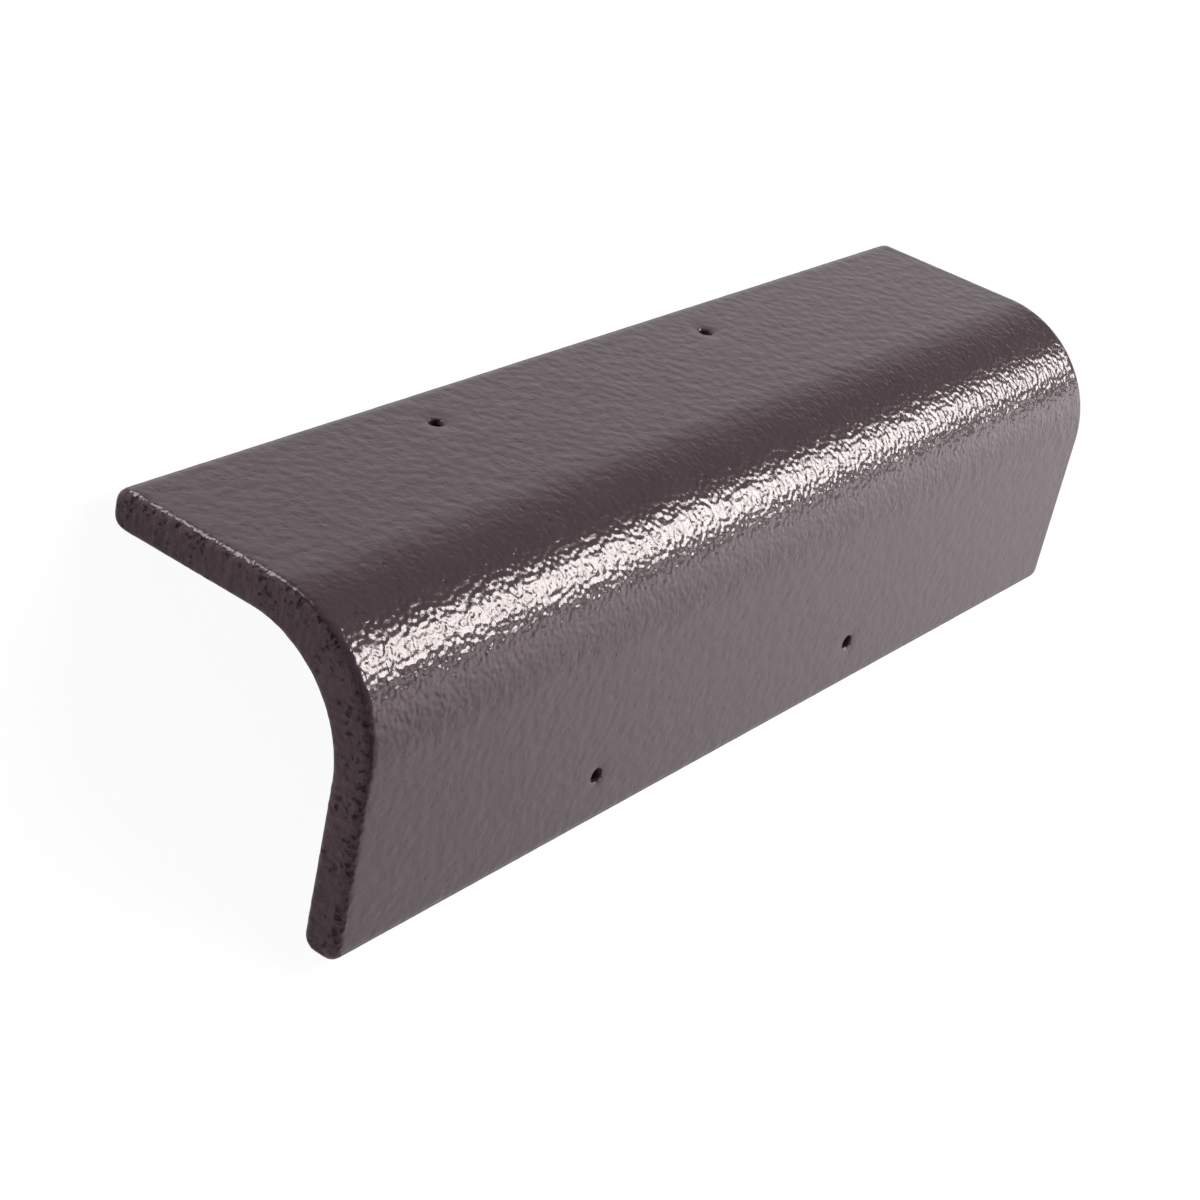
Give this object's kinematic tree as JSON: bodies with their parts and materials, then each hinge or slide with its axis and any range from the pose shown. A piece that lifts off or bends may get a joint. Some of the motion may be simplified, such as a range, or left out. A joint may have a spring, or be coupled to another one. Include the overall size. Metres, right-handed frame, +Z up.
{
  "type": "ridge tile",
  "caption": "Right-angled concrete roof tile with a rounded crest, flat legs and small nail holes, for capping a ridge or verge edge.",
  "frame": {"origin": "on the floor, under the middle of the tile's length and width, with the tile standing on both leg tips", "axes": "+X along the ridge, away from the end that the nail holes are set out from; +Y across the ridge; +Z up, through the crest"},
  "size_m": [0.42, 0.1464, 0.065],
  "materials": {
    "coated_concrete": "cast concrete with a glossy taupe coat on the weather side and bare matt concrete on the underside"
  },
  "bodies": {
    "root": {"ridge_tile": "coated_concrete"}
  },
  "joints": []
}
